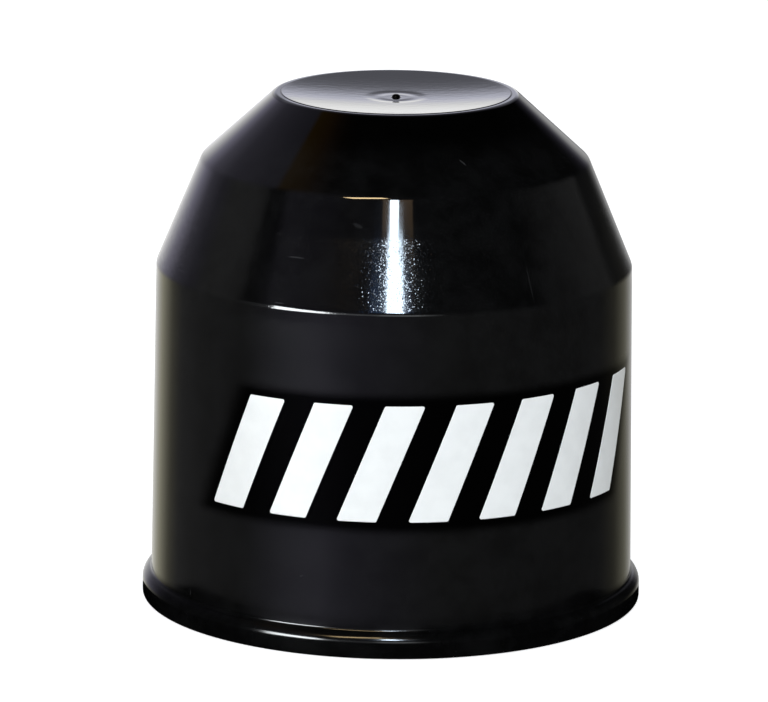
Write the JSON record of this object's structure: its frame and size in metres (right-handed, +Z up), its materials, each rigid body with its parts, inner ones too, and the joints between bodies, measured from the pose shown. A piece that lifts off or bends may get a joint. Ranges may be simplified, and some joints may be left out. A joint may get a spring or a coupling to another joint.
{
  "type": "tow ball cover",
  "caption": "Moulded cap that pushes down over a tow ball: drafted skirt with a rounded foot lip, stepped cones, dished top, grip ribs inside and a row of printed bars.",
  "frame": {"origin": "centre of the open mouth, in the plane of the foot that it stands on", "axes": "+Z up along the cap's axis, -Y to the front, where the printed bars are"},
  "size_m": [0.0592, 0.0592, 0.0605],
  "materials": {
    "black_plastic": "gloss",
    "white_ink": "satin"
  },
  "bodies": {
    "root": {"cover": "black_plastic", "printed_bars": "white_ink"}
  },
  "joints": []
}
